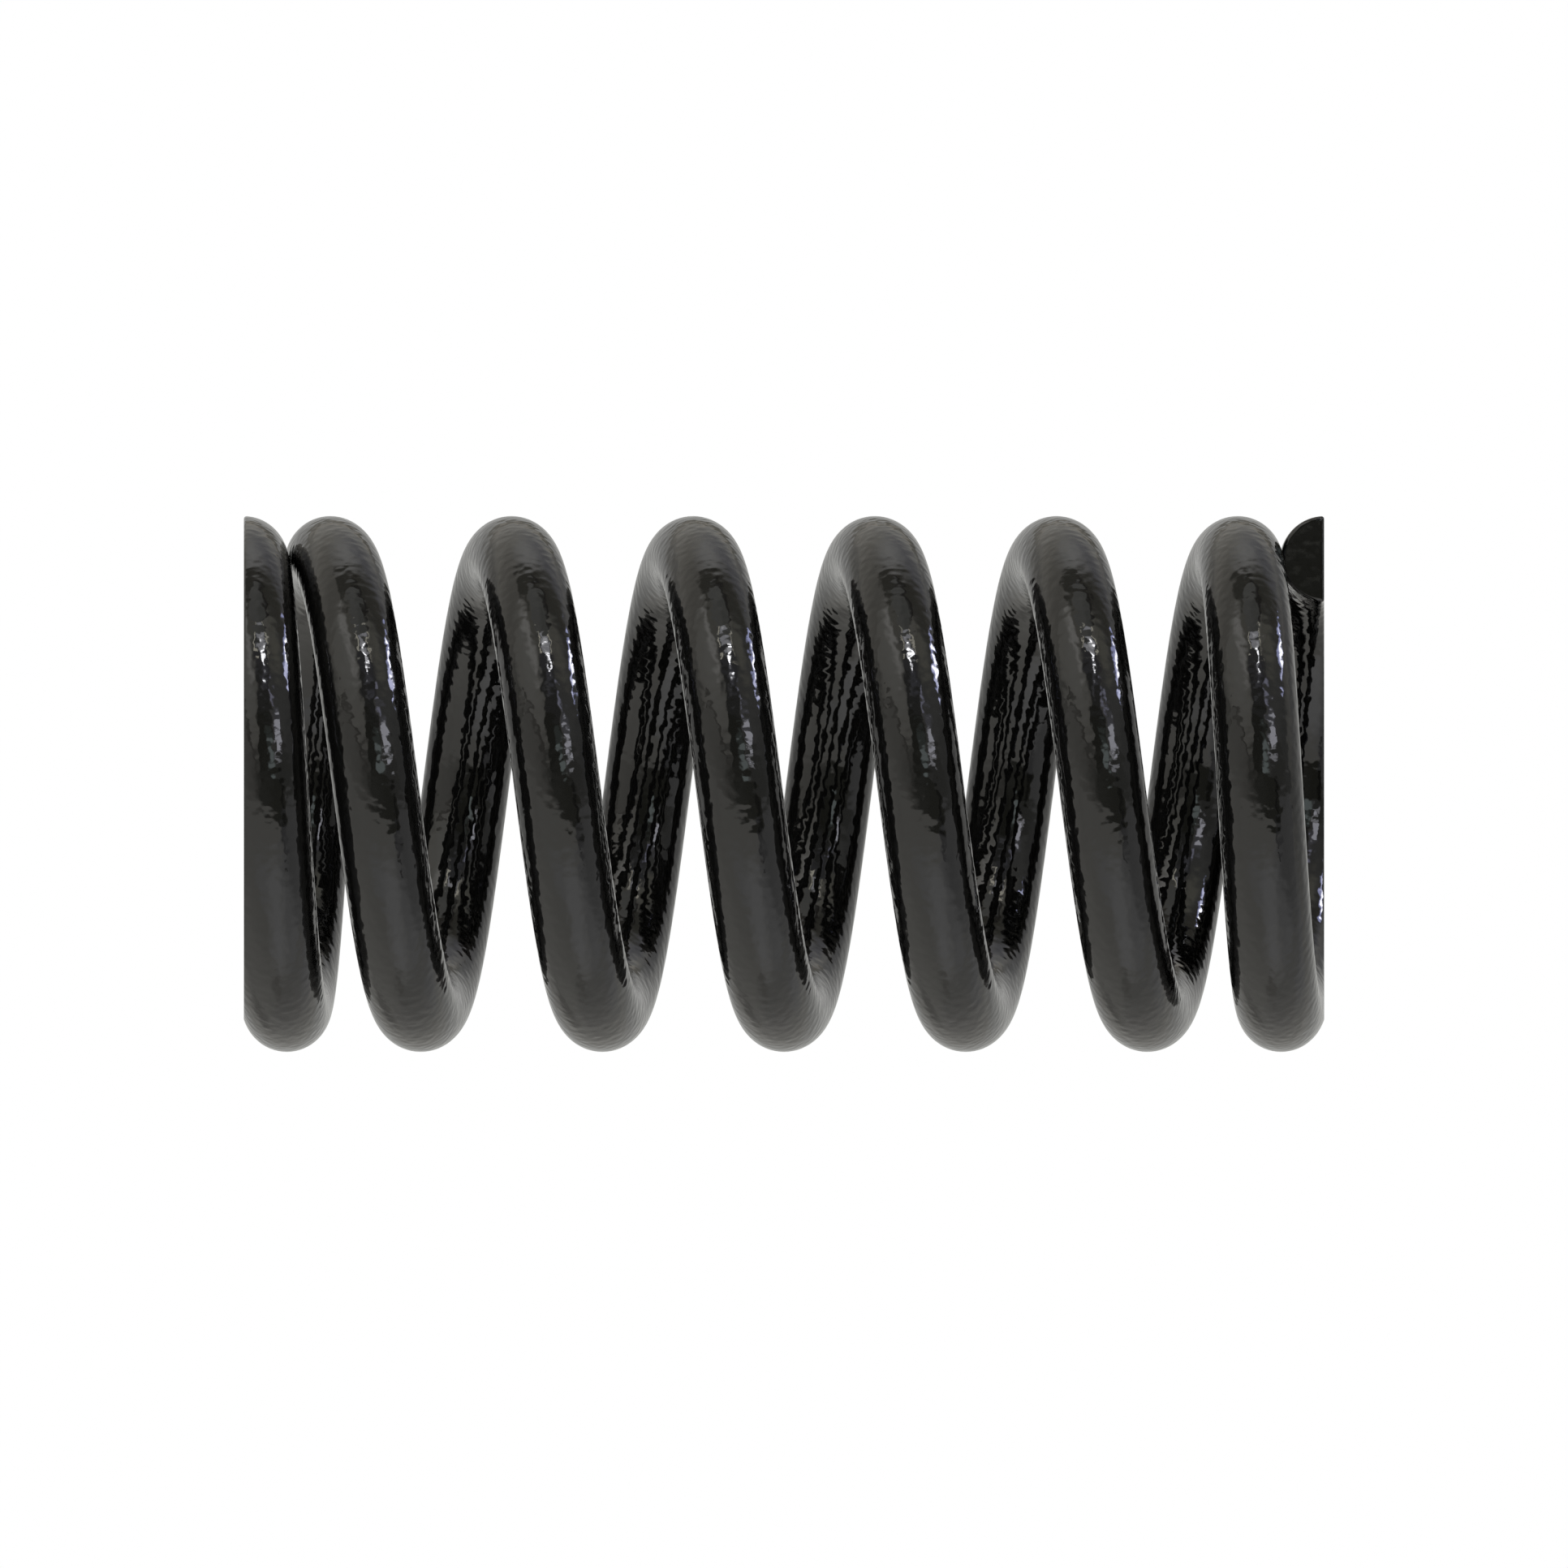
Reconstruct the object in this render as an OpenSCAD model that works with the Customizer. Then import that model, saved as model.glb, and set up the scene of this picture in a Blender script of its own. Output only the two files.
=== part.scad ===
// Compression spring of round wire, with closed ends that are ground flat.
// It stands on its lower ground face, with its axis on +Z and the origin at the
// centre of that face. Both wire tips point along +X.

/* [Wire] */
// Diameter of the round wire
wire_d = 4; // [3:0.1:4.8]

/* [Coil] */
// Outer diameter of the coil
outer_d = 24.9; // [20:0.1:32]
// Free length, from one ground face to the other
free_length = 50.2; // [44:0.1:70]
// Open turns, which do the springing
active_turns = 5; // [3:1:7]

/* [Ends] */
// Thickness of wire that is left at each tip after grinding
tip_t = 1.98; // [0.8:0.02:2.6]
// Air gap between each tip and the turn that it lies against
tip_gap = 0.02; // [0.02:0.01:0.3]
// Arc of wire that is ground flat at each end, in degrees
ground_arc = 180; // [172:1:230]
// Arc over which the winding opens from a closed turn to the open pitch, in degrees
opening_arc = 36; // [10:1:90]

/* [Facets] */
// Sides of the wire's section
wire_sides = 18; // [12:2:20]
// Steps of the sweep in one turn
turn_steps = 44; // [32:4:48]

/* [Hidden] */
wire_r = wire_d / 2;
coil_r = (outer_d - wire_d) / 2;
turn_length = 2 * PI * coil_r;
closed_turns = 1;
turns = active_turns + 2 * closed_turns;
rings = turns * turn_steps;

// A closed turn rises from the tip as a parabola. The rise over the whole turn
// brings the next turn to lie on the tip, and the rise over the ground arc brings
// the underside of the wire up to the ground face.
tip_height = tip_t - wire_r;
turn_rise = wire_d + tip_gap;
ground_rise = wire_d - tip_t;
ground_share = ground_arc / 360;
closed_bend = (turn_rise * ground_share - ground_rise) / (ground_share * (1 - ground_share));
closed_slope = turn_rise - closed_bend;
closed_height_end = tip_height + turn_rise;

// The open turns share the length that the two closed ends leave.
pitch = (free_length - 2 * closed_height_end) / active_turns;
opening_slope = pitch - closed_slope - 2 * closed_bend;
opening_rise = opening_slope * opening_arc / 360 / 2;

// Height of the wire's centre in a closed turn, u turns from the tip
function closed_height(u) = tip_height + closed_slope * u + closed_bend * u * u;

// Height of the wire's centre on the open pitch, u turns from the tip
function open_height(u) = closed_height_end + pitch * (u - closed_turns);

// What rises past zero, with its corner rounded over the band from -band to band
function rounded_rise(d, band) = d < -band ? 0 : d > band ? d : pow(d + band, 2) / (4 * band);

// Height of the wire's centre in the lower half of the coil
function lower_height(u) =
    closed_height(u) + rounded_rise(open_height(u) - closed_height(u), opening_rise);

// Height of the wire's centre, u turns along the coil. The upper half is the lower
// half turned over.
function height(u) = u < turns / 2 ? lower_height(u) : free_length - lower_height(turns - u);

// Angle at which the wire climbs, u turns along the coil
function climb(u) =
    let (step = 0.5 / turn_steps)
    atan((height(u + step) - height(u - step)) / (2 * step) / turn_length);

// One corner of the wire's section, which stands square to the wire
function section_point(u, side) =
    let (
        turn = 360 * u,
        lift = climb(u),
        around = 360 * side / wire_sides,
        out = coil_r + wire_r * cos(around),
        up = wire_r * sin(around)
    )
    [
        out * cos(turn) + up * sin(lift) * sin(turn),
        out * sin(turn) - up * sin(lift) * cos(turn),
        height(u) + up * cos(lift)
    ];

// Number of a corner in the list of points
function corner(ring, side) = ring * wire_sides + side % wire_sides;

// The wire as it is wound, before the ends are ground
module wound_wire() {
    points = [
        for (ring = [0 : rings], side = [0 : wire_sides - 1])
            section_point(ring / turn_steps, side)
    ];
    skin = [
        for (ring = [0 : rings - 1], side = [0 : wire_sides - 1], half = [0, 1])
            half == 0
                ? [corner(ring, side), corner(ring + 1, side), corner(ring + 1, side + 1)]
                : [corner(ring, side), corner(ring + 1, side + 1), corner(ring, side + 1)]
    ];
    first_cut = [for (side = [0 : wire_sides - 1]) corner(0, side)];
    last_cut = [for (side = [wire_sides - 1 : -1 : 0]) corner(rings, side)];
    polyhedron(points, concat(skin, [first_cut, last_cut]), convexity = 2 * turns);
}

// The space between the two ground faces
module between_ground_faces() {
    translate([-outer_d, -outer_d, 0])
        cube([2 * outer_d, 2 * outer_d, free_length]);
}

// The spring: the wound wire with both ends ground flat and square to its axis
module spring() {
    color("#1c1c1d")
        intersection() {
            wound_wire();
            between_ground_faces();
        }
}

spring();
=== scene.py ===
"""Dresses a black-coated compression spring: its wire, its ground ends, its light and its camera.

The spring stands on its lower ground end with its axis on +Z. The camera looks along +Y and
is rolled a quarter turn, so that the spring lies across the picture with its lower end at
the right.
"""

import logging
import math
from dataclasses import dataclass, field
from enum import Enum

import bpy
import numpy as np
from mathutils import Matrix, Vector


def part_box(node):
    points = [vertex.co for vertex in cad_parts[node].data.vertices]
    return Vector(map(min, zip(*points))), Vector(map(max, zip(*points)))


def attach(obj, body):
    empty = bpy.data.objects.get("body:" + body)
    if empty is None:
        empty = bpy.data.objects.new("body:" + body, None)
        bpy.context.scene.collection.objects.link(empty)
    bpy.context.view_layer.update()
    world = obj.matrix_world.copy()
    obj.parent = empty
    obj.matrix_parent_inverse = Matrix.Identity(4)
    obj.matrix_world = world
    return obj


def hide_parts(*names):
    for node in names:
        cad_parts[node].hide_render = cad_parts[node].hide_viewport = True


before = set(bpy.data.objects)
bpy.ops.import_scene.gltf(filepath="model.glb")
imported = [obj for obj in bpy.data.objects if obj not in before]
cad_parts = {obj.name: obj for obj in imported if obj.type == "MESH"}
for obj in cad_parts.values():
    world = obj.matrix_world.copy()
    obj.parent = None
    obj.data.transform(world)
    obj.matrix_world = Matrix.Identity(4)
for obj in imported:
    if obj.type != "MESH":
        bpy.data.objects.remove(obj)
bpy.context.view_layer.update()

MM = 0.001
PICTURE_SIDE_PX = 1932
Colour = tuple[float, float, float]

# A face lies on a ground end where the upright part of its normal is over LEVEL and its
# middle is within FLUSH of that end.
LEVEL = 0.9999
FLUSH = 0.0001 * MM

# Digits that keep the lowest point of the section at a share of 0, and not just under 1.
SHARE_DIGITS = 9

# Places of the Mix node's colour sockets, which have the same names as its other sockets.
MIX_FIRST = 6
MIX_SECOND = 7
MIX_RESULT = 2

log = logging.getLogger("spring")


class Surface(Enum):
    """The kinds of surface on the wire, in the order of its material slots."""

    COAT = 0
    GROUND = 1
    CUT = 2


class PatchShape(Enum):
    """The outlines that a patch of the studio's walls can have."""

    BOARD = "board"
    DISC = "disc"


def deselect_all() -> None:
    """Leave no object selected, so that the next operator acts on its own piece alone."""
    bpy.ops.object.select_all(action="DESELECT")


class NodeSheet:
    """A node tree that is filled by short calls."""

    def __init__(self, tree: bpy.types.NodeTree) -> None:
        """Empty the tree and keep it.

        Args:
            tree: The node tree of a material or of the world.
        """
        self.tree = tree
        tree.nodes.clear()

    def node(self, kind: str, inputs: dict | None = None, **settings: object) -> bpy.types.Node:
        """Add one node.

        Args:
            kind: The node's type, without its ShaderNode prefix.
            inputs: Values or sockets for the node's inputs, by name or number.
            **settings: The node's own settings.

        Returns:
            The new node.
        """
        made = self.tree.nodes.new("ShaderNode" + kind)
        for name, value in settings.items():
            setattr(made, name, value)
        for name, value in (inputs or {}).items():
            if isinstance(value, bpy.types.NodeSocket):
                self.tree.links.new(value, made.inputs[name])
            else:
                made.inputs[name].default_value = value
        return made

    def math(self, operation: str, first: object, second: object = 0.0) -> bpy.types.NodeSocket:
        """Work out one number from two.

        Args:
            operation: The Math node's operation.
            first: The first value or socket.
            second: The second value or socket.

        Returns:
            The result's socket.
        """
        return self.node("Math", {0: first, 1: second}, operation=operation).outputs[0]

    def blend(self, share: object, first: object, second: object) -> bpy.types.NodeSocket:
        """Mix two colours.

        Args:
            share: How much of the second colour shows, from 0 to 1.
            first: The first colour, as three numbers or a socket.
            second: The second colour, as three numbers or a socket.

        Returns:
            The mixed colour's socket.
        """
        mixed = self.node("Mix", data_type="RGBA")
        sockets = (mixed.inputs["Factor"], mixed.inputs[MIX_FIRST], mixed.inputs[MIX_SECOND])
        for socket, value in zip(sockets, (share, first, second)):
            if isinstance(value, bpy.types.NodeSocket):
                self.tree.links.new(value, socket)
            elif isinstance(value, tuple):
                socket.default_value = (*value, 1.0)
            else:
                socket.default_value = value
        return mixed.outputs[MIX_RESULT]

    def noise(
        self, where: bpy.types.NodeSocket, grain: float | tuple[float, float, float], detail: float
    ) -> bpy.types.NodeSocket:
        """Add a noise pattern.

        Args:
            where: The socket of the pattern's coordinates, in metres.
            grain: The size of the pattern's coarsest grain in metres, in all or in each direction.
            detail: The number of finer layers.

        Returns:
            The pattern's socket, near 0.5 on average.
        """
        if isinstance(grain, tuple):
            scale = tuple(1 / side for side in grain)
            squeezed = self.node("Mapping", {"Vector": where, "Scale": scale})
            where, grain = squeezed.outputs["Vector"], 1.0
        made = self.node("TexNoise", {"Vector": where, "Scale": 1 / grain, "Detail": detail})
        return made.outputs["Fac"]


@dataclass(frozen=True)
class BlackCoat:
    """The glossy black coat, with the faint orange peel of a sprayed coat.

    A grain is the size of a pattern's coarsest spots, a height is the depth of its relief, and
    a detail is the number of finer layers on it. The colour goes from deep to pale in spots:
    random tone on the coat and the ground faces, and painted reflection on the cut faces, where
    the pale spots stand in for mirrored light.
    """

    name: str
    deep: Colour = (0.0030, 0.0030, 0.0029)
    pale: Colour = (0.0046, 0.0045, 0.0042)
    blotch_and_reflection_grain: float | tuple[float, float, float] = 6.0 * MM
    blotch_and_reflection_detail: float = 3.0
    blotch_and_reflection_from: float = 0.0
    blotch_and_reflection_to: float = 1.0
    smoothest: float = 0.03
    roughest: float = 0.07
    peel_grain: float = 0.42 * MM
    peel_detail: float = 0.4
    peel_height: float = 0.033 * MM
    grit_grain: float | tuple[float, float, float] = 0.16 * MM
    grit_detail: float = 2.0
    grit_height: float = 0.0018 * MM
    refraction: float = 1.5

    def material(self) -> bpy.types.Material:
        """Make the material.

        Returns:
            The new material.
        """
        made = bpy.data.materials.new(self.name)
        made.use_nodes = True
        sheet = NodeSheet(made.node_tree)
        where = sheet.node("TexCoord").outputs["Object"]
        cloud = sheet.noise(where, self.blotch_and_reflection_grain, self.blotch_and_reflection_detail)
        # Colour from deep to pale in spots: random tone on the coat, painted reflection on the cut
        # faces
        spread = {"Value": cloud, "From Min": self.blotch_and_reflection_from, "From Max": self.blotch_and_reflection_to}
        blotches_and_painted_reflection = sheet.node("MapRange", spread).outputs["Result"]
        colour = sheet.blend(blotches_and_painted_reflection, self.deep, self.pale)
        roughness = sheet.node(
            "MapRange", {"Value": cloud, "To Min": self.smoothest, "To Max": self.roughest}
        )
        relief = [
            (sheet.noise(where, self.peel_grain, self.peel_detail), self.peel_height),
            (sheet.noise(where, self.grit_grain, self.grit_detail), self.grit_height),
        ]
        shape: dict[str, bpy.types.NodeSocket] = {}
        for pattern, height in relief:
            bump = sheet.node("Bump", {"Height": pattern, "Distance": height, **shape})
            shape = {"Normal": bump.outputs["Normal"]}
        shader = sheet.node(
            "BsdfPrincipled",
            {
                "Base Color": colour,
                "Roughness": roughness.outputs["Result"],
                "IOR": self.refraction,
                **shape,
            },
        )
        sheet.node("OutputMaterial", {"Surface": shader.outputs["BSDF"]})
        return made


@dataclass
class SpringWire:
    """The coiled wire: one round wire, with closed end turns that are ground flat.

    A screw winds the wire from its round section. It can only wind one whole section at one
    even pitch, so the points of each ring are then moved to where the real winding has them.
    That closes the end turns, opens the pitch between them, grinds both ends flat and rounds
    off every cut edge.

    In the photo each tip seems to touch the next turn. So tip_t, tip_gap and opening_arc bring
    them about 0.05 mm closer together than the solid's do, and leave the open turns in place.

    Attributes:
        low: The lowest corner of the spring's box.
        high: The highest corner of the spring's box.
        wire_d: Diameter of the wire.
        tip_t: Thickness of wire that is left at each tip after grinding.
        tip_gap: Air gap between each tip and the turn that it lies against, before the
            rounded opening lifts that turn a little further.
        ground_arc: Arc of wire that is ground flat at each end, in degrees.
        opening_arc: Arc over which the winding opens to its full pitch, in degrees.
        active_turns: Open turns.
        closed_turns: Closed turns at each end.
        steps_in_turn: Rings in one turn.
        sides: Points in one ring.
        ground_corner: Radius of the edges of the ground faces.
        least_corner: The least that the radius of such an edge is, where it runs into a cut.
        cut_corner: Radius of the edges of the cut faces.
        corner_rings: Rings that round off the edge of a cut face.
        corner_share: What is added to each radius of the section when its points are shared
            out, so that a small corner gets enough of them.
        cut_rim: Width of the rim of coat inside the edge of a cut face.
        finishes: The finish of each kind of surface, with painted reflection in the cut faces'
            colour.
    """

    low: Vector
    high: Vector
    wire_d: float = 4.0 * MM
    tip_t: float = 1.995 * MM
    tip_gap: float = 0.005 * MM
    ground_arc: float = 180.0
    opening_arc: float = 12.0
    active_turns: int = 5
    closed_turns: int = 1
    steps_in_turn: int = 160
    sides: int = 64
    ground_corner: float = 0.13 * MM
    least_corner: float = 0.06 * MM
    cut_corner: float = 0.18 * MM
    corner_rings: int = 5
    corner_share: float = 1.0 * MM
    cut_rim: float = 0.03 * MM
    finishes: dict[Surface, BlackCoat] = field(
        default_factory=lambda: {
            Surface.COAT: BlackCoat("black_coat"),
            Surface.GROUND: BlackCoat(
                "black_coat_ground",
                peel_height=0.01 * MM,
                grit_grain=(0.12 * MM, 6.0 * MM, 0.12 * MM),
                grit_height=0.006 * MM,
            ),
            # The cut faces: painted reflection, pale spots in the colour that stand in for mirrored
            # light
            Surface.CUT: BlackCoat(
                "black_coat_cut_painted_reflection",
                pale=(0.024, 0.024, 0.022),
                blotch_and_reflection_grain=(0.42 * MM, 0.42 * MM, 0.7 * MM),
                blotch_and_reflection_from=0.50,
                blotch_and_reflection_to=0.66,
                smoothest=0.06,
                roughest=0.10,
                peel_height=0.030 * MM,
            ),
        }
    )

    def __post_init__(self) -> None:
        """Work out the winding from the sizes."""
        self.wire_r = self.wire_d / 2
        self.length = self.high.z - self.low.z
        self.coil_r = (self.high.x - self.low.x - self.wire_d) / 2
        self.turn_length = 2 * math.pi * self.coil_r
        self.turns = self.active_turns + 2 * self.closed_turns
        self.tip_height = self.tip_t - self.wire_r
        turn_rise = self.wire_d + self.tip_gap
        ground_rise = self.wire_d - self.tip_t
        share = self.ground_arc / 360
        self.closed_bend = (turn_rise * share - ground_rise) / (share * (1 - share))
        self.closed_slope = turn_rise - self.closed_bend
        self.closed_end = self.tip_height + turn_rise
        self.pitch = (self.length - 2 * self.closed_end) / self.active_turns
        opening_slope = self.pitch - self.closed_slope - 2 * self.closed_bend
        self.opening_rise = opening_slope * self.opening_arc / 360 / 2

    def lower_height(self, turn: np.ndarray) -> np.ndarray:
        """Height of the wire's centre in the lower half of the coil.

        Args:
            turn: Turns from the lower tip.

        Returns:
            The heights in metres.
        """
        closed = self.tip_height + self.closed_slope * turn + self.closed_bend * turn**2
        open_pitch = self.closed_end + self.pitch * (turn - self.closed_turns)
        past = open_pitch - closed
        rounded = (past + self.opening_rise) ** 2 / (4 * self.opening_rise)
        rise = np.where(past > self.opening_rise, past, rounded)
        return closed + np.where(past < -self.opening_rise, 0.0, rise)

    def height(self, turn: np.ndarray) -> np.ndarray:
        """Height of the wire's centre anywhere in the coil.

        Args:
            turn: Turns from the lower tip.

        Returns:
            The heights in metres.
        """
        upper = self.length - self.lower_height(self.turns - turn)
        return np.where(turn < self.turns / 2, self.lower_height(turn), upper)

    def climb(self, turn: np.ndarray) -> np.ndarray:
        """Angle at which the wire climbs.

        Args:
            turn: Turns from the lower tip.

        Returns:
            The angles in radians.
        """
        step = 0.5 / self.steps_in_turn
        rise = self.height(turn + step) - self.height(turn - step)
        return np.arctan(rise / (2 * step * self.turn_length))

    def wind(self) -> bpy.types.Object:
        """Wind the wire evenly from its round section.

        Returns:
            The wound wire, at an even pitch.
        """
        deselect_all()
        bpy.ops.mesh.primitive_circle_add(
            vertices=self.sides,
            radius=self.wire_r,
            location=(self.coil_r, 0, 0),
            rotation=(math.pi / 2, 0, 0),
        )
        bpy.ops.object.transform_apply(location=True, rotation=True, scale=True)
        wire = bpy.context.active_object
        wire.name = wire.data.name = "spring_wire"
        winding = wire.modifiers.new("winding", "SCREW")
        winding.axis = "Z"
        winding.angle = 2 * math.pi
        winding.screw_offset = self.length / self.turns
        winding.iterations = self.turns
        winding.steps = winding.render_steps = self.steps_in_turn
        bpy.ops.object.modifier_apply(modifier=winding.name)
        return wire

    def rings(self) -> tuple[np.ndarray, np.ndarray]:
        """Space the rings of the wire, with the first and last few close to the cut faces.

        Returns:
            Each ring's turns from the lower tip, and how far its section is drawn in to round
            the edge of the cut face.
        """
        half = self.turns * self.steps_in_turn // 2
        round_off = np.linspace(0, math.pi / 2, self.corner_rings + 1)
        back = self.cut_corner * (1 - np.cos(round_off)) / self.turn_length
        even = np.linspace(back[-1], self.turns / 2, half - self.corner_rings + 1)
        lower = np.concatenate([back, even[1:]])
        drawn_in = np.zeros(2 * half + 1)
        drawn_in[: self.corner_rings + 1] = self.cut_corner * (1 - np.sin(round_off))
        drawn_in = drawn_in + drawn_in[::-1]
        return np.concatenate([lower, self.turns - lower[-2::-1]]), drawn_in

    def section(
        self, share: np.ndarray, radius: np.ndarray, gap: np.ndarray, corner: np.ndarray
    ) -> tuple[np.ndarray, np.ndarray]:
        """Place points on the wire's section, which the grinding cuts flat below.

        Each half of the section runs along the flat, round its corner and round the wire's
        arc up to the top.

        Args:
            share: How far round the section each point is, from 0 at the bottom to 1.
            radius: The section's radius.
            gap: Depth of the ground face below the section's centre.
            corner: Radius of the corner beside the ground face.

        Returns:
            The points' places outward and upward from the centre.
        """
        half = 1 - np.abs(1 - 2 * share)
        gap = np.minimum(gap, radius)
        corner_up = corner - gap
        corner_out = np.sqrt(np.maximum((radius - corner) ** 2 - corner_up**2, 0.0))
        corner_angle = np.arctan2(corner_up, corner_out) + math.pi / 2
        flat = corner_out
        rounded = (corner + self.corner_share) * corner_angle
        arc = (radius + self.corner_share) * (math.pi - corner_angle)
        along = half * (flat + rounded + arc)
        on_corner = (along - flat) / (corner + self.corner_share) - math.pi / 2
        on_arc = (along - flat - rounded) / (radius + self.corner_share)
        on_arc = on_arc + corner_angle - math.pi / 2
        is_flat = along < flat
        is_corner = along < flat + rounded
        out = np.where(is_corner, corner_out + corner * np.cos(on_corner), radius * np.cos(on_arc))
        up = np.where(is_corner, corner_up + corner * np.sin(on_corner), radius * np.sin(on_arc))
        out = np.where(is_flat, along, out)
        up = np.where(is_flat, -gap, up)
        return out * np.where(share > 0.5, -1.0, 1.0), up

    def shares(self, wire: bpy.types.Object) -> np.ndarray:
        """Tell how far round the section each point of a ring is.

        The section's angle is counted from outward, a quarter turn past the bottom.

        Args:
            wire: The evenly wound wire.

        Returns:
            The shares, from 0 at the bottom of the section to 1.
        """
        at = np.zeros(len(wire.data.vertices) * 3)
        wire.data.vertices.foreach_get("co", at)
        first_ring = at.reshape(-1, 3)[: self.sides]
        around = np.arctan2(first_ring[:, 2], first_ring[:, 0] - self.coil_r)
        past_bottom = around / (2 * math.pi) + 0.25
        return np.round(past_bottom % 1.0, SHARE_DIGITS) % 1.0

    def place(self, turn: np.ndarray, out: np.ndarray, up: np.ndarray) -> np.ndarray:
        """Place points beside the wire's centre, on sections that stand square to the wire.

        Args:
            turn: Turns from the lower tip.
            out: How far outward from the wire's centre each point is.
            up: How far upward from the wire's centre each point is.

        Returns:
            The places, with a row for each point.
        """
        angle = 2 * math.pi * turn
        lift = self.climb(turn)
        radius = out + self.coil_r
        return np.stack(
            [
                radius * np.cos(angle) + up * np.sin(lift) * np.sin(angle),
                radius * np.sin(angle) - up * np.sin(lift) * np.cos(angle),
                np.clip(self.height(turn) + up * np.cos(lift), 0.0, self.length),
            ],
            axis=1,
        )

    def shape(self, wire: bpy.types.Object) -> None:
        """Set the pitch, grind both ends of the coil flat, and round off every cut edge.

        The upper half of the coil is the lower half turned over. Its sections are turned over
        too, because its ground face is above.

        Args:
            wire: The evenly wound wire.
        """
        ring, side = np.divmod(np.arange(len(wire.data.vertices)), self.sides)
        ring_turn, ring_drawn_in = self.rings()
        turn, drawn_in = ring_turn[ring], ring_drawn_in[ring]
        share = self.shares(wire)[side]
        upper = turn > self.turns / 2
        share = np.where(upper, (1.5 - share) % 1.0, share)
        middle = self.height(turn)
        to_ground = np.where(upper, self.length - middle, middle)
        gap = to_ground / np.cos(self.climb(turn)) - drawn_in
        corner = np.maximum(self.ground_corner - drawn_in, self.least_corner)
        out, up = self.section(share, self.wire_r - drawn_in, gap, corner)
        place = self.place(turn, out, np.where(upper, -up, up))
        wire.data.vertices.foreach_set("co", place.ravel())
        wire.data.update()

    def close(self, wire: bpy.types.Object) -> None:
        """Close both cut ends of the wire, each with a rim and a fan of triangles inside it.

        Args:
            wire: The wound wire.
        """
        bpy.context.view_layer.objects.active = wire
        bpy.ops.object.mode_set(mode="EDIT")
        bpy.ops.mesh.select_mode(type="EDGE")
        bpy.ops.mesh.select_all(action="DESELECT")
        bpy.ops.mesh.select_non_manifold(
            extend=False,
            use_wire=False,
            use_boundary=True,
            use_multi_face=False,
            use_non_contiguous=False,
            use_verts=False,
        )
        bpy.ops.mesh.edge_face_add()
        bpy.ops.mesh.inset(thickness=self.cut_rim, depth=0)
        bpy.ops.mesh.poke(center_mode="MEDIAN")
        bpy.ops.mesh.select_all(action="SELECT")
        bpy.ops.mesh.normals_make_consistent(inside=False)
        bpy.ops.object.mode_set(mode="OBJECT")

    def dress(self, wire: bpy.types.Object) -> None:
        """Give the wire its finishes, with painted reflection in the cut faces, and its smooth
        shading.

        Args:
            wire: The finished mesh.
        """
        for surface in Surface:
            wire.data.materials.append(self.finishes[surface].material())
        for face in wire.data.polygons:
            face.use_smooth = True
            face.material_index = self.surface_of(face).value

    def surface_of(self, face: bpy.types.MeshPolygon) -> Surface:
        """Tell which kind of surface a face belongs to.

        The only triangles are those in the two cuts.

        Args:
            face: One face of the wire.

        Returns:
            The kind of surface.
        """
        to_end = min(face.center.z, self.length - face.center.z)
        if abs(face.normal.z) > LEVEL and to_end < FLUSH:
            return Surface.GROUND
        if len(face.vertices) == 3:
            return Surface.CUT
        return Surface.COAT

    def build(self) -> bpy.types.Object:
        """Make the whole wire and put it in place of the plain solid.

        Returns:
            The finished piece.
        """
        wire = self.wind()
        self.shape(wire)
        self.close(wire)
        self.dress(wire)
        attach(wire, "root")
        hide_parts("spring")
        return wire


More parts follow.
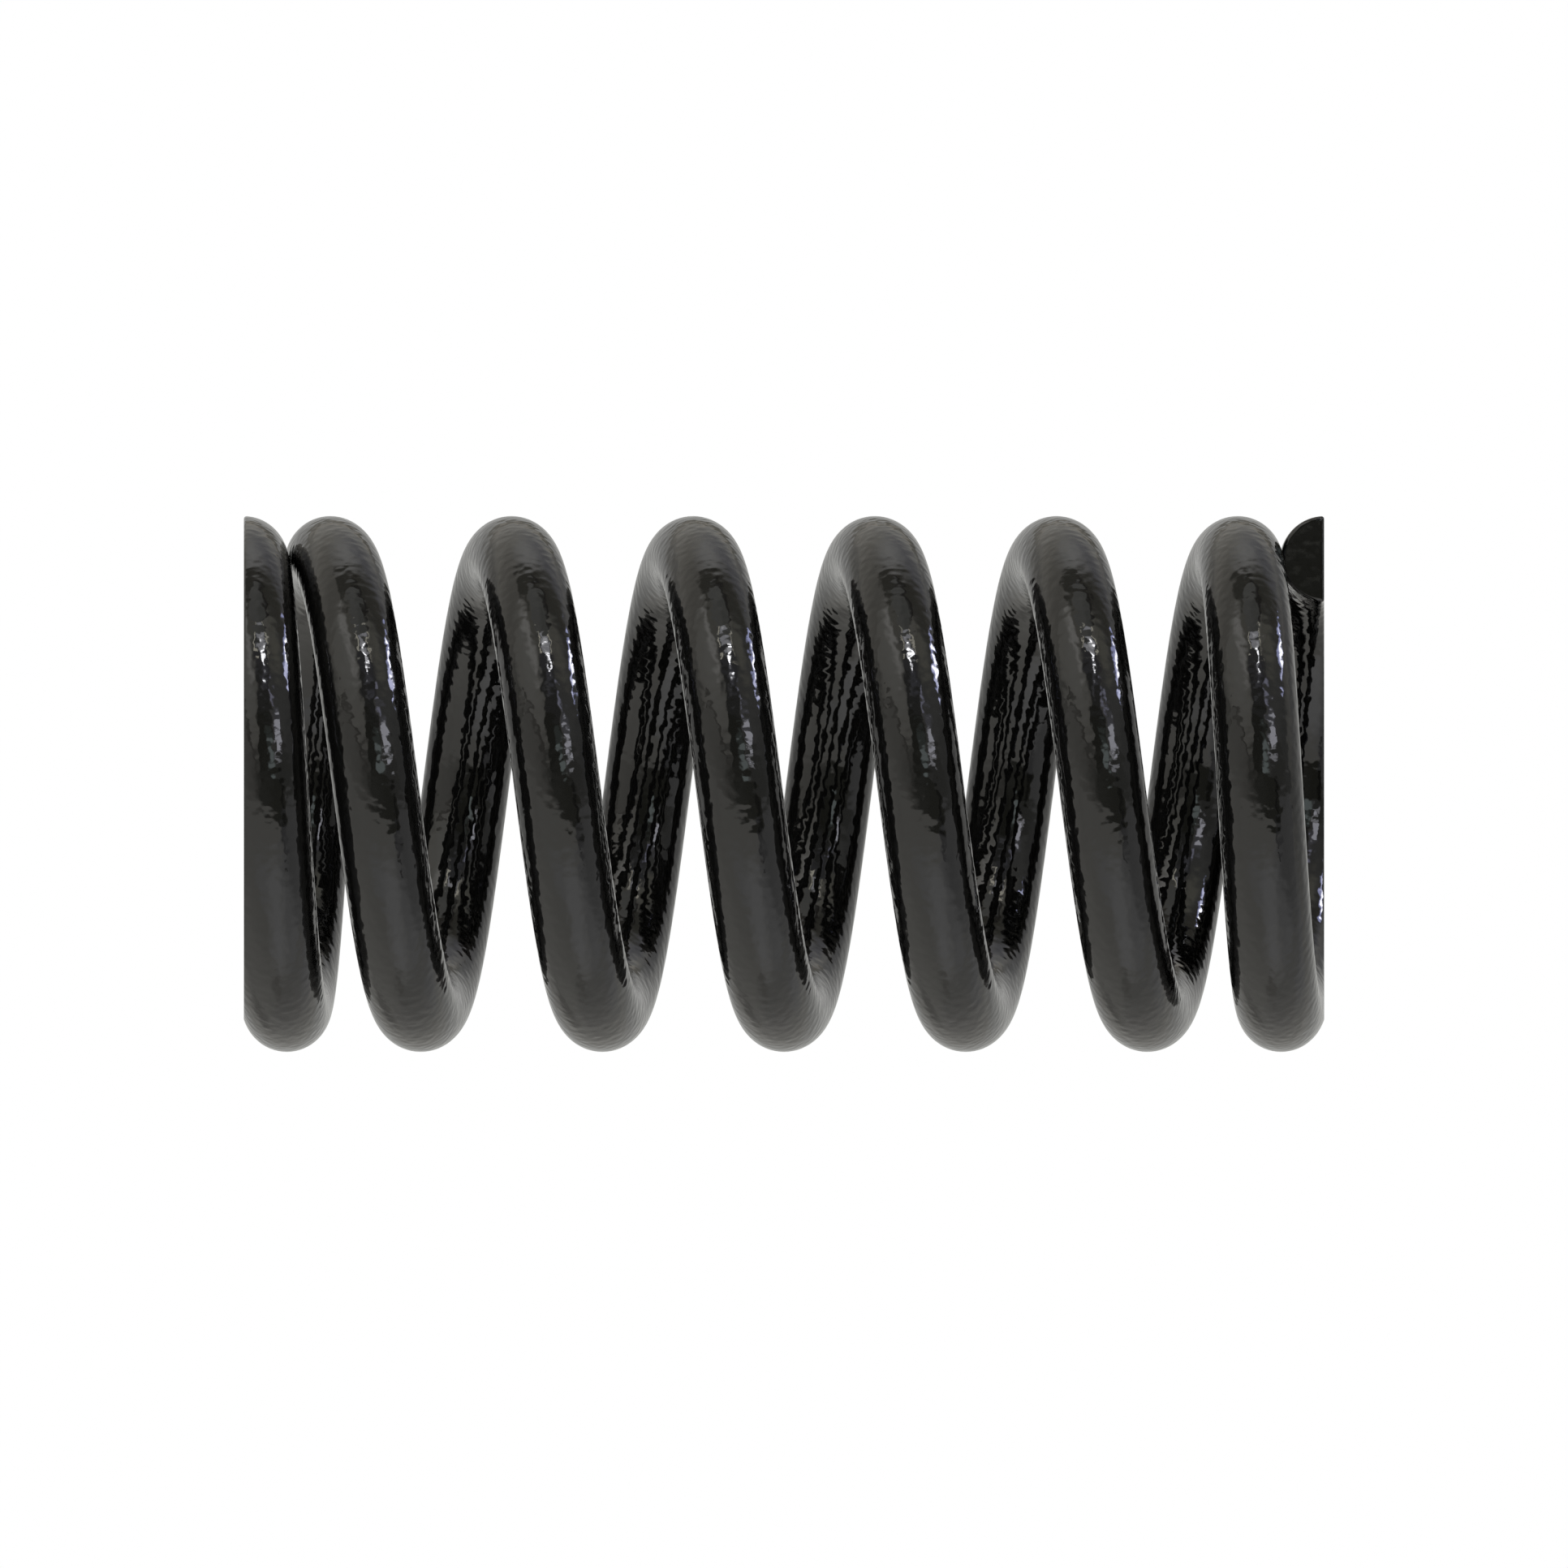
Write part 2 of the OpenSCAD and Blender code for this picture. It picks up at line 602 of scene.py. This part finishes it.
@dataclass(frozen=True)
class Patch:
    """A lit or dark patch of the studio, as the coat mirrors it.

    Directions and sizes are in degrees. A direction of 0 across and 0 up is that of the
    camera. Across is towards the upper end of the spring, and up is towards the top of the
    picture and on over the spring to the far side.

    Attributes:
        name: What the patch stands for.
        across: Direction of its middle, across.
        up: Direction of its middle, up.
        width: Its size across.
        height: Its size upward.
        edge: Width of its soft edge.
        light: Its colour and brightness.
        tilt: How far it leans.
        shape: Its outline.
    """

    name: str
    across: float
    up: float
    width: float
    height: float
    edge: float
    light: Colour
    tilt: float = 0.0
    shape: PatchShape = PatchShape.BOARD

    def mask(self, sheet: NodeSheet, angles: bpy.types.NodeSocket) -> bpy.types.NodeSocket:
        """Work out where the patch covers the studio.

        Args:
            sheet: The world's nodes.
            angles: The socket of the direction, as across and up in radians.

        Returns:
            The socket of the share that the patch covers.
        """
        half = (math.radians(self.width / 2), math.radians(self.height / 2))
        soft = math.radians(self.edge / 2)
        local = sheet.node(
            "Mapping",
            {
                "Vector": angles,
                "Location": (math.radians(self.across), math.radians(self.up), 0.0),
                "Rotation": (0.0, 0.0, math.radians(self.tilt)),
                "Scale": (half[0], half[1], 1.0),
            },
            vector_type="TEXTURE",
        ).outputs["Vector"]
        if self.shape is PatchShape.DISC:
            reach = sheet.node("VectorMath", {0: local}, operation="LENGTH").outputs["Value"]
            return self.fade(sheet, reach, soft / min(half))
        spans = sheet.node("VectorMath", {0: local}, operation="ABSOLUTE").outputs["Vector"]
        split = sheet.node("SeparateXYZ", {"Vector": spans})
        wide = self.fade(sheet, split.outputs["X"], soft / half[0])
        tall = self.fade(sheet, split.outputs["Y"], soft / half[1])
        return sheet.math("MULTIPLY", wide, tall)

    def fade(
        self, sheet: NodeSheet, reach: bpy.types.NodeSocket, soft: float
    ) -> bpy.types.NodeSocket:
        """Fade the patch out over its soft edge.

        Args:
            sheet: The world's nodes.
            reach: The socket of the distance from the middle, 1 at the edge.
            soft: Half the width of the soft edge, in the same unit.

        Returns:
            The socket of the share, 1 inside and 0 outside.
        """
        ends = {"From Min": 1 - soft, "From Max": 1 + soft, "To Min": 1.0, "To Max": 0.0}
        faded = sheet.node("MapRange", {"Value": reach, **ends}, interpolation_type="SMOOTHSTEP")
        return faded.outputs["Result"]


@dataclass(frozen=True)
class Studio:
    """The light round the spring: an even white dome, and the room that the gloss mirrors.

    Each patch has a name, a direction across and up, a width and a height, the width of its
    soft edge, and its light. A patch later in the list covers those before it.

    Attributes:
        dome: Colour and brightness of the even dome.
        far_wall: Those of the room where no patch is.
        patches: The patches of the room.
    """

    dome: Colour = (1.0, 1.0, 1.0)
    far_wall: Colour = (0.515, 0.513, 0.498)
    patches: tuple[Patch, ...] = (
        # Walls and ceiling
        Patch("far beam", 0, 76, 168, 168, 3, (0.25, 0.24, 0.21), shape=PatchShape.DISC),
        Patch("far beam glow", 0, 76, 158, 157, 3, (0.60, 0.54, 0.46), shape=PatchShape.DISC),
        Patch("ceiling", 0, 76, 154, 152, 5, (0.62, 0.61, 0.57), shape=PatchShape.DISC),
        Patch("left wall", 62, 42, 110, 120, 14, (0.78, 0.76, 0.70)),
        Patch("wall edge", 22, 75, 103, 131, 3, (0.45, 0.43, 0.38), shape=PatchShape.DISC),
        Patch("bright wall", 22, 75, 96, 124, 4, (1.05, 1.02, 0.93), shape=PatchShape.DISC),
        Patch("wall line", 43.5, 19.5, 70, 20, 2, (0.40, 0.38, 0.34), tilt=48),
        Patch("wall foot", 48.5, 15.5, 72, 21, 4, (0.77, 0.75, 0.69), tilt=48),
        Patch("wall glow", 31, 54, 36, 40, 30, (1.24, 1.22, 1.13), shape=PatchShape.DISC),
        Patch("ceiling near", 0, 128, 170, 44, 16, (0.63, 0.62, 0.58)),
        Patch("wall top", 42, 104, 70, 24, 18, (0.72, 0.69, 0.62)),
        Patch("ceiling left", 40, 124, 66, 50, 44, (0.72, 0.69, 0.62)),
        Patch("ceiling right", -24, 124, 46, 30, 26, (0.50, 0.50, 0.53)),
        Patch("ceiling glow", 0, 114, 30, 24, 24, (1.17, 1.16, 1.13), shape=PatchShape.DISC),
        Patch("ceiling left far", 44, 155, 34, 18, 12, (0.45, 0.44, 0.41)),
        Patch("ceiling right far", -42, 155, 34, 18, 12, (0.39, 0.39, 0.39)),
        Patch("wall low", 5, 4, 52, 22, 24, (0.45, 0.44, 0.40), shape=PatchShape.DISC),
        Patch("wall panel", 9, 57, 15, 48, 10, (0.78, 0.76, 0.68), tilt=-16),
        Patch("right wall", -64, 46, 72, 120, 6, (0.48, 0.48, 0.46)),
        Patch("right wall far", -84, 50, 40, 90, 22, (0.35, 0.35, 0.34)),
        Patch("right wall low", -52, 14, 44, 34, 12, (0.31, 0.31, 0.29)),
        Patch("left wall high", 82, 80, 30, 56, 18, (0.56, 0.55, 0.50)),
        Patch("right corner", -35, 75, 25, 28, 18, (0.86, 0.84, 0.72), shape=PatchShape.DISC),
        Patch("ceiling shade", -32, 104, 42, 26, 20, (0.29, 0.28, 0.24), tilt=-22),
        # Floor, and the light that falls on it
        Patch("floor", 0, -98, 500, 172, 5, (1.00, 0.98, 0.91)),
        Patch("floor left", 80, -55, 46, 104, 16, (0.92, 0.90, 0.835)),
        Patch("floor right", -48, -84, 50, 110, 30, (0.96, 0.96, 0.96)),
        Patch("floor right near", -45, -42, 34, 14, 16, (0.82, 0.82, 0.82)),
        Patch("floor far", 0, -176, 500, 120, 60, (0.62, 0.61, 0.57)),
        Patch("floor end", 0, -180, 500, 44, 18, (0.55, 0.55, 0.53)),
        Patch("floor far shade", -30, -112, 74, 32, 16, (0.76, 0.75, 0.71)),
        Patch("floor back shade", -28, -124, 74, 18, 14, (0.69, 0.675, 0.64)),
        Patch("floor back right", -54, -130, 36, 30, 24, (0.68, 0.68, 0.68)),
        Patch("floor shade", -84, -55, 70, 112, 18, (0.61, 0.61, 0.61), tilt=-12),
        Patch("floor light left", 14, -45, 38, 20, 18, (1.12, 1.12, 1.11), shape=PatchShape.DISC),
        Patch("floor light", -12, -50, 37, 34, 20, (1.32, 1.32, 1.32), shape=PatchShape.DISC),
        Patch("floor light low", -10, -73, 28, 30, 24, (1.34, 1.34, 1.34), shape=PatchShape.DISC),
        Patch("floor mark", 0, -99, 12, 18, 8, (0.70, 0.68, 0.63), shape=PatchShape.DISC),
        Patch("floor mark far", 22, -135, 20, 14, 10, (0.45, 0.44, 0.41), shape=PatchShape.DISC),
        # Strip lamp, and the alcove with its lamp bowl
        Patch("strip lamp", 24.5, 65, 10, 40, 12, (2.0, 1.96, 1.86), tilt=-21),
        Patch("alcove", 1, 98, 50, 17, 7, (0.27, 0.26, 0.22)),
        Patch("alcove side", 17, 87, 7, 12, 8, (0.36, 0.35, 0.30), tilt=-12),
        Patch("alcove foot", 14, 74, 12, 16, 6, (0.75, 0.73, 0.64), tilt=-12),
        Patch("bowl shade", -7, 87, 31, 28, 4, (0.12, 0.11, 0.10), shape=PatchShape.DISC),
        Patch("lamp bowl", -2, 82, 29, 31, 4, (0.73, 0.73, 0.69), shape=PatchShape.DISC),
        Patch("lamp bowl side", -11, 80, 12, 24, 10, (0.58, 0.59, 0.55), shape=PatchShape.DISC),
        # Door and counter
        Patch("door top", -8, 52, 36, 22, 8, (0.33, 0.33, 0.35)),
        Patch("door", -7, 33, 32, 34, 4, (0.21, 0.21, 0.20)),
        Patch("door foot", -7.5, 12, 36.5, 38, 5, (0.13, 0.13, 0.105)),
        Patch("door glint", -3, 41, 10, 4, 4, (0.62, 0.62, 0.66), shape=PatchShape.DISC),
        Patch("door glint high", -12, 48, 16, 7, 6, (0.52, 0.52, 0.60), tilt=-20),
        Patch("counter", -27, -4.4, 58, 23.5, 4, (0.17, 0.17, 0.14), tilt=12),
        Patch("counter end", -46, -8, 9, 28, 5, (0.07, 0.07, 0.06)),
        Patch("counter edge", -40.5, -25, 3, 26, 3, (0.22, 0.22, 0.22), tilt=-10),
        Patch("counter foot", -45, -24, 14, 12, 9, (0.45, 0.45, 0.46)),
        Patch("counter shade", 3, -3, 38, 14, 12, (0.23, 0.23, 0.20), shape=PatchShape.DISC),
        # Lantern and small lamps
        Patch("lantern glass", -8.5, 65, 28, 10, 2, (0.46, 0.47, 0.46), tilt=-6),
        Patch("lantern glow", -8, 66, 18, 7, 2, (2.9, 2.9, 3.1), tilt=-8),
        Patch("lantern core", -10, 63, 9, 5, 3, (5.0, 5.0, 5.2), tilt=-8),
        Patch("lantern edge left", 4.5, 63.5, 2.6, 9, 1.3, (4.8, 4.6, 3.9), tilt=6),
        Patch("lantern edge right", -20.5, 68, 2.4, 8, 1.2, (4.3, 4.1, 3.5), tilt=8),
        Patch("lantern hook left", 4.5, 69.5, 4.5, 2.2, 1.5, (3.0, 2.9, 2.5)),
        Patch("lantern foot left", 6.5, 60.5, 4, 2.5, 1.5, (4.2, 4.0, 3.4)),
        Patch("lantern hook right", -17.5, 72, 5, 3, 1.5, (4.2, 4.0, 3.4), tilt=24),
        Patch("lantern foot right", -22.5, 62.5, 3, 2.2, 1.2, (2.0, 1.9, 1.6)),
        Patch("lantern lamp", -11.5, 60.4, 7, 3.2, 1.4, (28, 28, 29), tilt=-8),
        Patch("lantern lamp low", -12.5, 57.4, 4, 1.8, 1.2, (9, 9, 9.6)),
        Patch("spot lamp", -12.5, 54.4, 5, 2.8, 1.4, (24, 24, 25), tilt=-8),
        Patch("spot lamp glow", -12, 51.5, 6, 3, 2, (2.2, 2.2, 2.4), tilt=-10),
        Patch("small lamp", -27.5, 43.5, 7, 8, 5, (2.2, 2.2, 2.9), tilt=-10, shape=PatchShape.DISC),
        # Windows
        Patch("window glow", -38, 37, 20, 8, 8, (0.74, 0.74, 0.82), tilt=-28),
        Patch("window", -40.5, 28.5, 15, 12, 3, (4.4, 4.4, 4.9), tilt=-28),
        Patch("window sill", -39.5, 18.5, 19, 3.6, 3, (2.7, 2.7, 2.9), tilt=-16),
        Patch("glass", -18.5, 13.5, 18, 13.5, 4, (1.38, 1.58, 1.56), tilt=-12, shape=PatchShape.DISC),
        Patch("glass high", -16, 23, 15, 8, 5, (0.36, 0.41, 0.38), tilt=-12),
        Patch("roof window frame", -55.5, 106.5, 9, 36, 3, (3.2, 3.4, 5.6), tilt=-16),
        Patch("roof window low", -58.6, 99.5, 4.5, 17, 2, (7.7, 7.9, 11.0), tilt=-16),
        Patch("roof window", -55.2, 112.8, 5, 16.6, 2, (18, 18, 19.5), tilt=-16),
    )

    def light(self) -> None:
        """Set up the world.

        Mirrored and refracted rays meet the room. All others meet the dome.
        """
        world = bpy.data.worlds.new("studio")
        bpy.context.scene.world = world
        world.use_nodes = True
        sheet = NodeSheet(world.node_tree)
        toward = sheet.node("TexCoord").outputs["Generated"]
        split = sheet.node("SeparateXYZ", {"Vector": toward})
        across = sheet.math("ARCSINE", split.outputs["Z"])
        ahead = sheet.math("MULTIPLY", split.outputs["Y"], -1.0)
        up = sheet.math("ARCTAN2", split.outputs["X"], ahead)
        angles = sheet.node("CombineXYZ", {"X": across, "Y": up}).outputs["Vector"]
        colour: object = self.far_wall
        for patch in self.patches:
            colour = sheet.blend(patch.mask(sheet, angles), colour, patch.light)
        room = sheet.node("Background", {"Color": colour}).outputs["Background"]
        even = sheet.node("Background", {"Color": (*self.dome, 1.0)}).outputs["Background"]
        path = sheet.node("LightPath")
        mirrored = sheet.math(
            "MAXIMUM", path.outputs["Is Glossy Ray"], path.outputs["Is Transmission Ray"]
        )
        both = sheet.node("MixShader", {0: mirrored, 1: even, 2: room})
        sheet.node("OutputWorld", {"Surface": both.outputs["Shader"]})


@dataclass(frozen=True)
class Floor:
    """The pale floor that the spring stands on.

    Attributes:
        radius: Radius of the floor.
        sides: Sides of its round edge.
        drop: How far it lies below the spring, so that the two faces don't coincide.
        pale: Its duller colour.
        paler: Its brighter colour.
        cloud_grain: Size of the coarsest clouds, in which the two colours change.
        cloud_detail: Number of finer layers of clouds.
    """

    radius: float = 0.5
    sides: int = 96
    drop: float = 0.02 * MM
    pale: Colour = (0.83, 0.83, 0.83)
    paler: Colour = (0.87, 0.87, 0.87)
    cloud_grain: float = 60 * MM
    cloud_detail: float = 2.0

    def build(self) -> bpy.types.Object:
        """Make the floor.

        Returns:
            The floor, which isn't part of the spring.
        """
        deselect_all()
        bpy.ops.mesh.primitive_circle_add(
            vertices=self.sides, radius=self.radius, fill_type="NGON", location=(0, 0, -self.drop)
        )
        floor = bpy.context.active_object
        floor.name = "floor"
        floor.data.materials.append(self.material())
        floor.visible_glossy = False
        return floor

    def material(self) -> bpy.types.Material:
        """Make the floor's matt paint, which can be looked through from below.

        Returns:
            The new material.
        """
        made = bpy.data.materials.new("floor_paint")
        made.use_nodes = True
        sheet = NodeSheet(made.node_tree)
        where = sheet.node("TexCoord").outputs["Object"]
        cloud = sheet.noise(where, self.cloud_grain, self.cloud_detail)
        paint = sheet.node("BsdfDiffuse", {"Color": sheet.blend(cloud, self.pale, self.paler)})
        clear = sheet.node("BsdfTransparent")
        below = sheet.node("NewGeometry").outputs["Backfacing"]
        both = sheet.node(
            "MixShader", {0: below, 1: paint.outputs["BSDF"], 2: clear.outputs["BSDF"]}
        )
        sheet.node("OutputMaterial", {"Surface": both.outputs["Shader"]})
        return made


@dataclass(frozen=True)
class SideCamera:
    """The camera: a flat view along +Y, rolled so that the spring's axis lies across.

    Attributes:
        spring_length_px: Length of the spring in the picture, in pixels.
        distance: From the camera to the middle of the spring.
    """

    spring_length_px: float = 1331.2
    distance: float = 0.4

    def place(self, low: Vector, high: Vector) -> bpy.types.Object:
        """Put the camera in front of the spring.

        Args:
            low: The lowest corner of the spring.
            high: The highest corner of the spring.

        Returns:
            The camera.
        """
        lens = bpy.data.cameras.new("side_camera")
        lens.type = "ORTHO"
        lens.ortho_scale = (high.z - low.z) * PICTURE_SIDE_PX / self.spring_length_px
        camera = bpy.data.objects.new("side_camera", lens)
        bpy.context.scene.collection.objects.link(camera)
        middle = (low + high) / 2
        right = Vector((0, 0, -1))
        top = Vector((1, 0, 0))
        back = right.cross(top)
        turn = Matrix((right, top, back)).transposed().to_4x4()
        camera.matrix_world = Matrix.Translation(middle + back * self.distance) @ turn
        bpy.context.scene.camera = camera
        return camera


def main() -> None:
    """Build the spring, the floor, the light and the camera."""
    logging.basicConfig(level=logging.INFO, format="%(message)s")
    low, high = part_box("spring")
    wire = SpringWire(low, high).build()
    log.info("%s: %d faces", wire.name, len(wire.data.polygons))
    floor = Floor().build()
    log.info("%s: ready", floor.name)
    Studio().light()
    camera = SideCamera().place(low, high)
    log.info("%s: %.1f mm across the picture", camera.name, camera.data.ortho_scale / MM)
    bpy.context.scene.view_settings.view_transform = "Standard"


if __name__ == "__main__":
    main()
